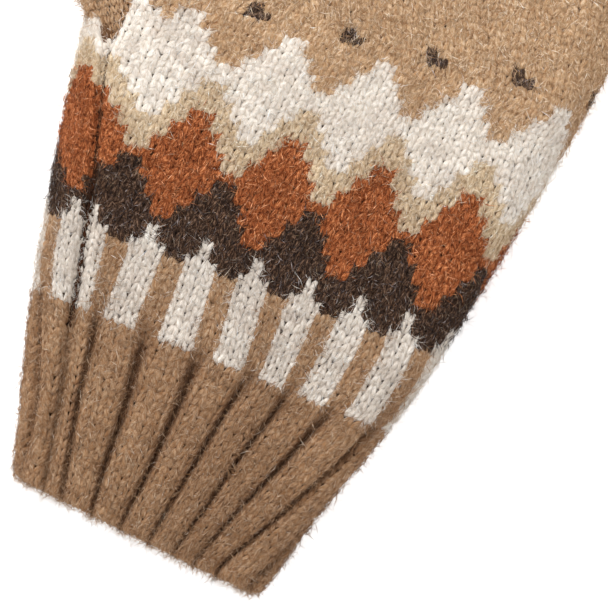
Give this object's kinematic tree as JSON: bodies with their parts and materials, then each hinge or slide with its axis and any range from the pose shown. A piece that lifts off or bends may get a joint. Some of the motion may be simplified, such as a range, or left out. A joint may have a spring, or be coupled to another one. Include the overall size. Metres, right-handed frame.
{
  "type": "knitted mitten",
  "caption": "Wool mitten with a ribbed cuff, colourwork bands of stripes, diamonds and zigzags, a gusseted thumb and drawn-in tips.",
  "frame": {"origin": "on the surface the mitten lies on, below the centre of the whole mitten", "axes": "+Y from the cuff to the fingertips, +Z out of the back of the hand, the thumb on the -X side"},
  "size_m": [0.1648, 0.2509, 0.0199],
  "materials": {
    "brown_wool": "heathered brown wool, brushed and fuzzy",
    "cream_wool": "cream and white wool, brushed and fuzzy",
    "oat_wool": "oat wool, brushed and fuzzy",
    "rust_wool": "rust wool, brushed and fuzzy",
    "dark_wool": "dark brown wool, brushed and fuzzy",
    "seam_yarn": "brown closing yarn, plied wool"
  },
  "bodies": {
    "cuff": {"cast_on_edge": "brown_wool", "cuff_ribbing": "brown_wool", "cuff_seam": "seam_yarn"},
    "hand": {"stripe_band": "cream_wool", "diamond_band": "rust_wool", "zigzag_band": "oat_wool", "hand_panel": "brown_wool", "thumb_gusset": "brown_wool", "hand_seam": "seam_yarn"},
    "fingers": {"finger_panel": "brown_wool", "fingertip_cap": "brown_wool", "tip_gather": "seam_yarn"},
    "thumb": {"thumb_tube": "brown_wool", "thumb_tip": "brown_wool", "thumb_gather": "seam_yarn"}
  },
  "joints": [
    {"name": "wrist_fold", "type": "hinge", "parent": "hand", "child": "cuff", "pos_m": [0.02644, -0.08545, 0.0085], "axis": [1, 0, 0], "range_deg": [-60, 60]},
    {"name": "finger_fold", "type": "hinge", "parent": "hand", "child": "fingers", "pos_m": [0.02644, 0.03655, 0.01], "axis": [1, 0, 0], "range_deg": [-75, 20]},
    {"name": "thumb_fold", "type": "hinge", "parent": "hand", "child": "thumb", "pos_m": [-0.05032, 0.02573, 0.0096], "axis": [0.848, 0.5299, 0], "range_deg": [-60, 20]}
  ]
}
